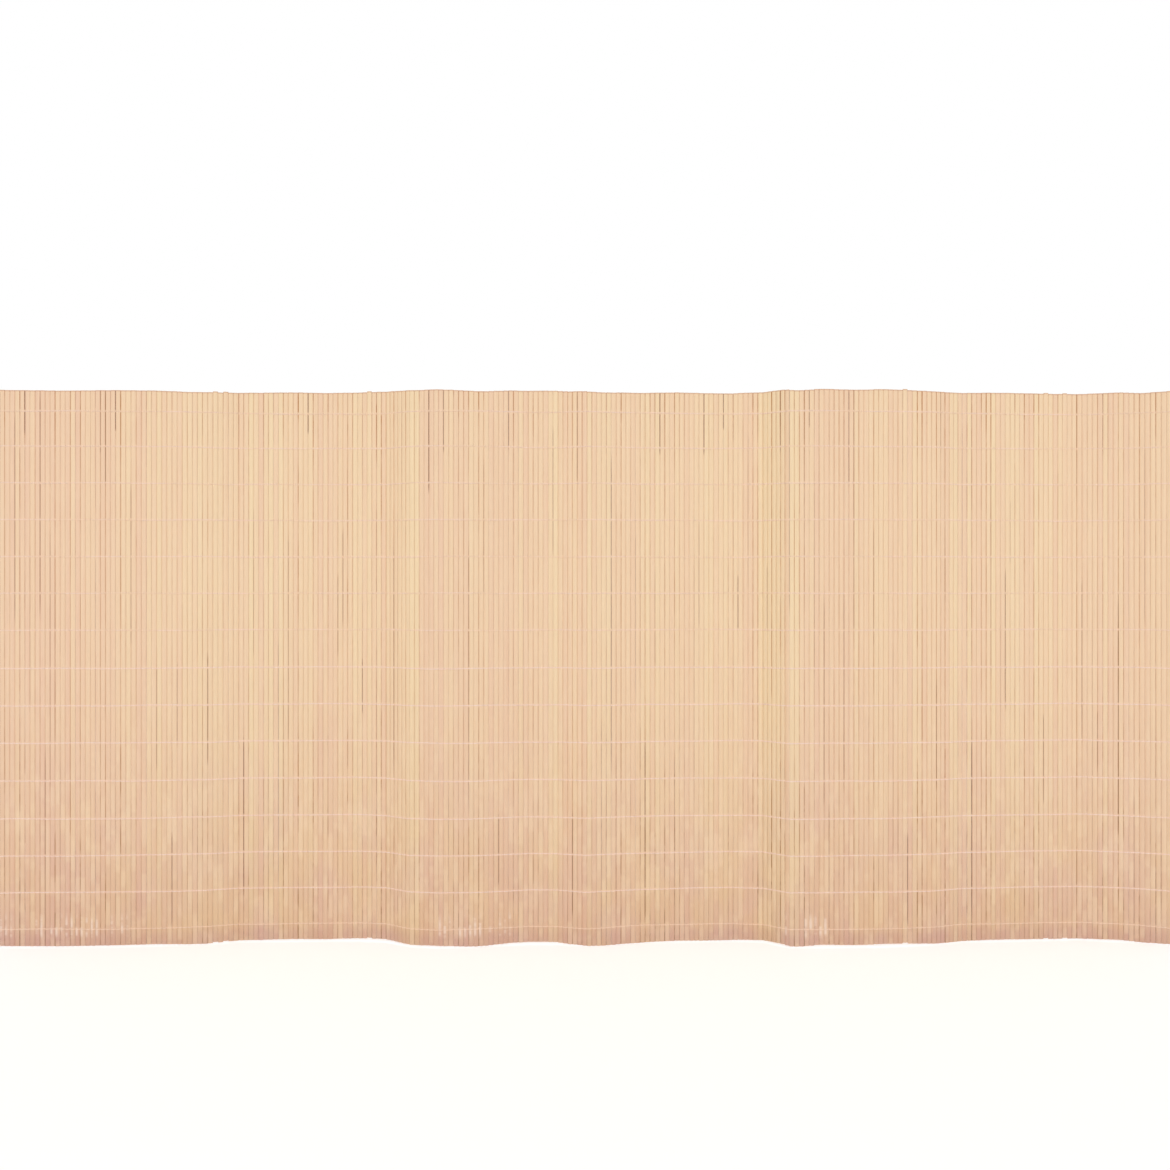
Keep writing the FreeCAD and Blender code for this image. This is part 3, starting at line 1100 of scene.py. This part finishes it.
def make_thread_finish():
    """Pale two-ply yarn."""
    material, tree, surface = new_material("Pale binding thread")
    place = add_node(tree, "ShaderNodeUVMap")
    place.uv_map = "thread"
    along, around, _ = add_node(tree, "ShaderNodeSeparateXYZ", Vector=place.outputs[0]).outputs
    turns = calculate(tree, "ADD", along, product(tree, around, PLIES))
    swing = calculate(tree, "SINE", product(tree, turns, math.tau))
    ridge = calculate(tree, "MULTIPLY_ADD", swing, 0.5, 0.5)

    colour = mix_colours(tree, read_number(tree, "tone"), linear(*THREAD_PALE), linear(*THREAD_PINK))
    colour = paint(tree, colour, product(tree, one_minus(tree, ridge), VALLEY_SHADE_AMOUNT), PLY_VALLEY_SHADE)
    fuzz = smooth_step(tree, streaks(tree, across=300.0, upwards=300.0, seed=6.0), 0.3, 0.8)
    colour = paint(tree, colour, product(tree, fuzz, FUZZ_AMOUNT), THREAD_FUZZ)
    strength = row_fading(tree, low=1.0, high=0.6, worn=0.75)
    colour = mix_colours(tree, strength, linear(*THREAD_FADED), colour)
    tree.links.new(colour, surface["Base Color"])

    tree.links.new(between(tree, fuzz, *THREAD_ROUGHNESS), surface["Roughness"])
    surface["Sheen Weight"].default_value = THREAD_SHEEN
    bump = add_node(tree, "ShaderNodeBump", Height=ridge, Strength=0.8, Distance=0.12 * MM)
    tree.links.new(bump.outputs["Normal"], surface["Normal"])
    return material


thread_finish = make_thread_finish()
for piece in row_pieces:
    piece.data.materials.append(thread_finish)
print("thread finish:", len(thread_finish.node_tree.nodes), "nodes")

# %% [markdown]
# ## The studio
# The panel stands on a pale floor in soft light from the front, with a weaker light behind it, so
# that its back can be seen as well. Where the camera looks at the background, it sees plain
# white. The floor adds a little of that white to what its own colour shows, and it still keeps
# the panel's soft shadow.

# %% Lay the floor
FLOOR_SIZE = 24.0
FLOOR_COLOUR = (0.93, 0.93, 0.93, 1)
FLOOR_ROUGHNESS = 0.9
FLOOR_GLOSS = 0.1
FLOOR_GLOW = 0.26
WHITE = (1, 1, 1, 1)


def background_ray(tree):
    """1 for rays that show the background: directly, in a reflection or through something."""
    rays = tree.nodes.new("ShaderNodeLightPath").outputs
    seen = calculate(tree, "MAXIMUM", rays["Is Camera Ray"], rays["Is Glossy Ray"])
    return calculate(tree, "MAXIMUM", seen, rays["Is Transmission Ray"])


def make_floor():
    """Large pale floor under the panel."""
    bm = bmesh.new()
    bmesh.ops.create_grid(bm, x_segments=2, y_segments=2, size=FLOOR_SIZE / 2)
    mesh = bpy.data.meshes.new("floor")
    bm.to_mesh(mesh)
    bm.free()
    material, tree, surface = new_material("Pale floor")
    surface["Base Color"].default_value = FLOOR_COLOUR
    surface["Roughness"].default_value = FLOOR_ROUGHNESS
    surface["Specular IOR Level"].default_value = FLOOR_GLOSS
    surface["Emission Color"].default_value = WHITE
    tree.links.new(product(tree, background_ray(tree), FLOOR_GLOW), surface["Emission Strength"])
    mesh.materials.append(material)
    floor = bpy.data.objects.new("floor", mesh)
    bpy.context.collection.objects.link(floor)


make_floor()
print("floor:", FLOOR_SIZE, "m wide")

# %% Light the studio
SKY_STRENGTH = 0.585
SUN_SPREAD = math.radians(25)
KEY_STRENGTH = 1.07
KEY_FROM = Vector((0.0, -1.0, 0.85))
FILL_STRENGTH = 0.8
FILL_FROM = Vector((0.0, 1.0, 0.85))


def add_sun(name, strength, towards):
    """Broad soft light that comes from one direction."""
    lamp = bpy.data.lights.new(name, "SUN")
    lamp.energy = strength
    lamp.angle = SUN_SPREAD
    sun = bpy.data.objects.new(name, lamp)
    sun.rotation_euler = towards.to_track_quat("Z", "Y").to_euler()
    bpy.context.collection.objects.link(sun)


def light_studio():
    """Even light from all round, a broad soft light in front and a weaker one behind."""
    world = bpy.data.worlds.new("Studio")
    world.use_nodes = True
    tree = world.node_tree
    sky = tree.nodes["Background"]
    sky.inputs["Color"].default_value = WHITE
    strength = between(tree, background_ray(tree), SKY_STRENGTH, 1.0)
    tree.links.new(strength, sky.inputs["Strength"])
    bpy.context.scene.world = world
    add_sun("Key", KEY_STRENGTH, KEY_FROM)
    add_sun("Fill", FILL_STRENGTH, FILL_FROM)


light_studio()
bpy.context.scene.view_settings.view_transform = "Standard"
print("lamps:", ", ".join(lamp.name for lamp in bpy.data.lights))

# %% [markdown]
# The meshes that were made only to be copied are removed.

# %% Remove the leftover meshes
for leftover in (ONE_SLAT, ONE_THREAD, ONE_KNOT, STRAIGHT_ROW):
    bpy.data.meshes.remove(leftover)
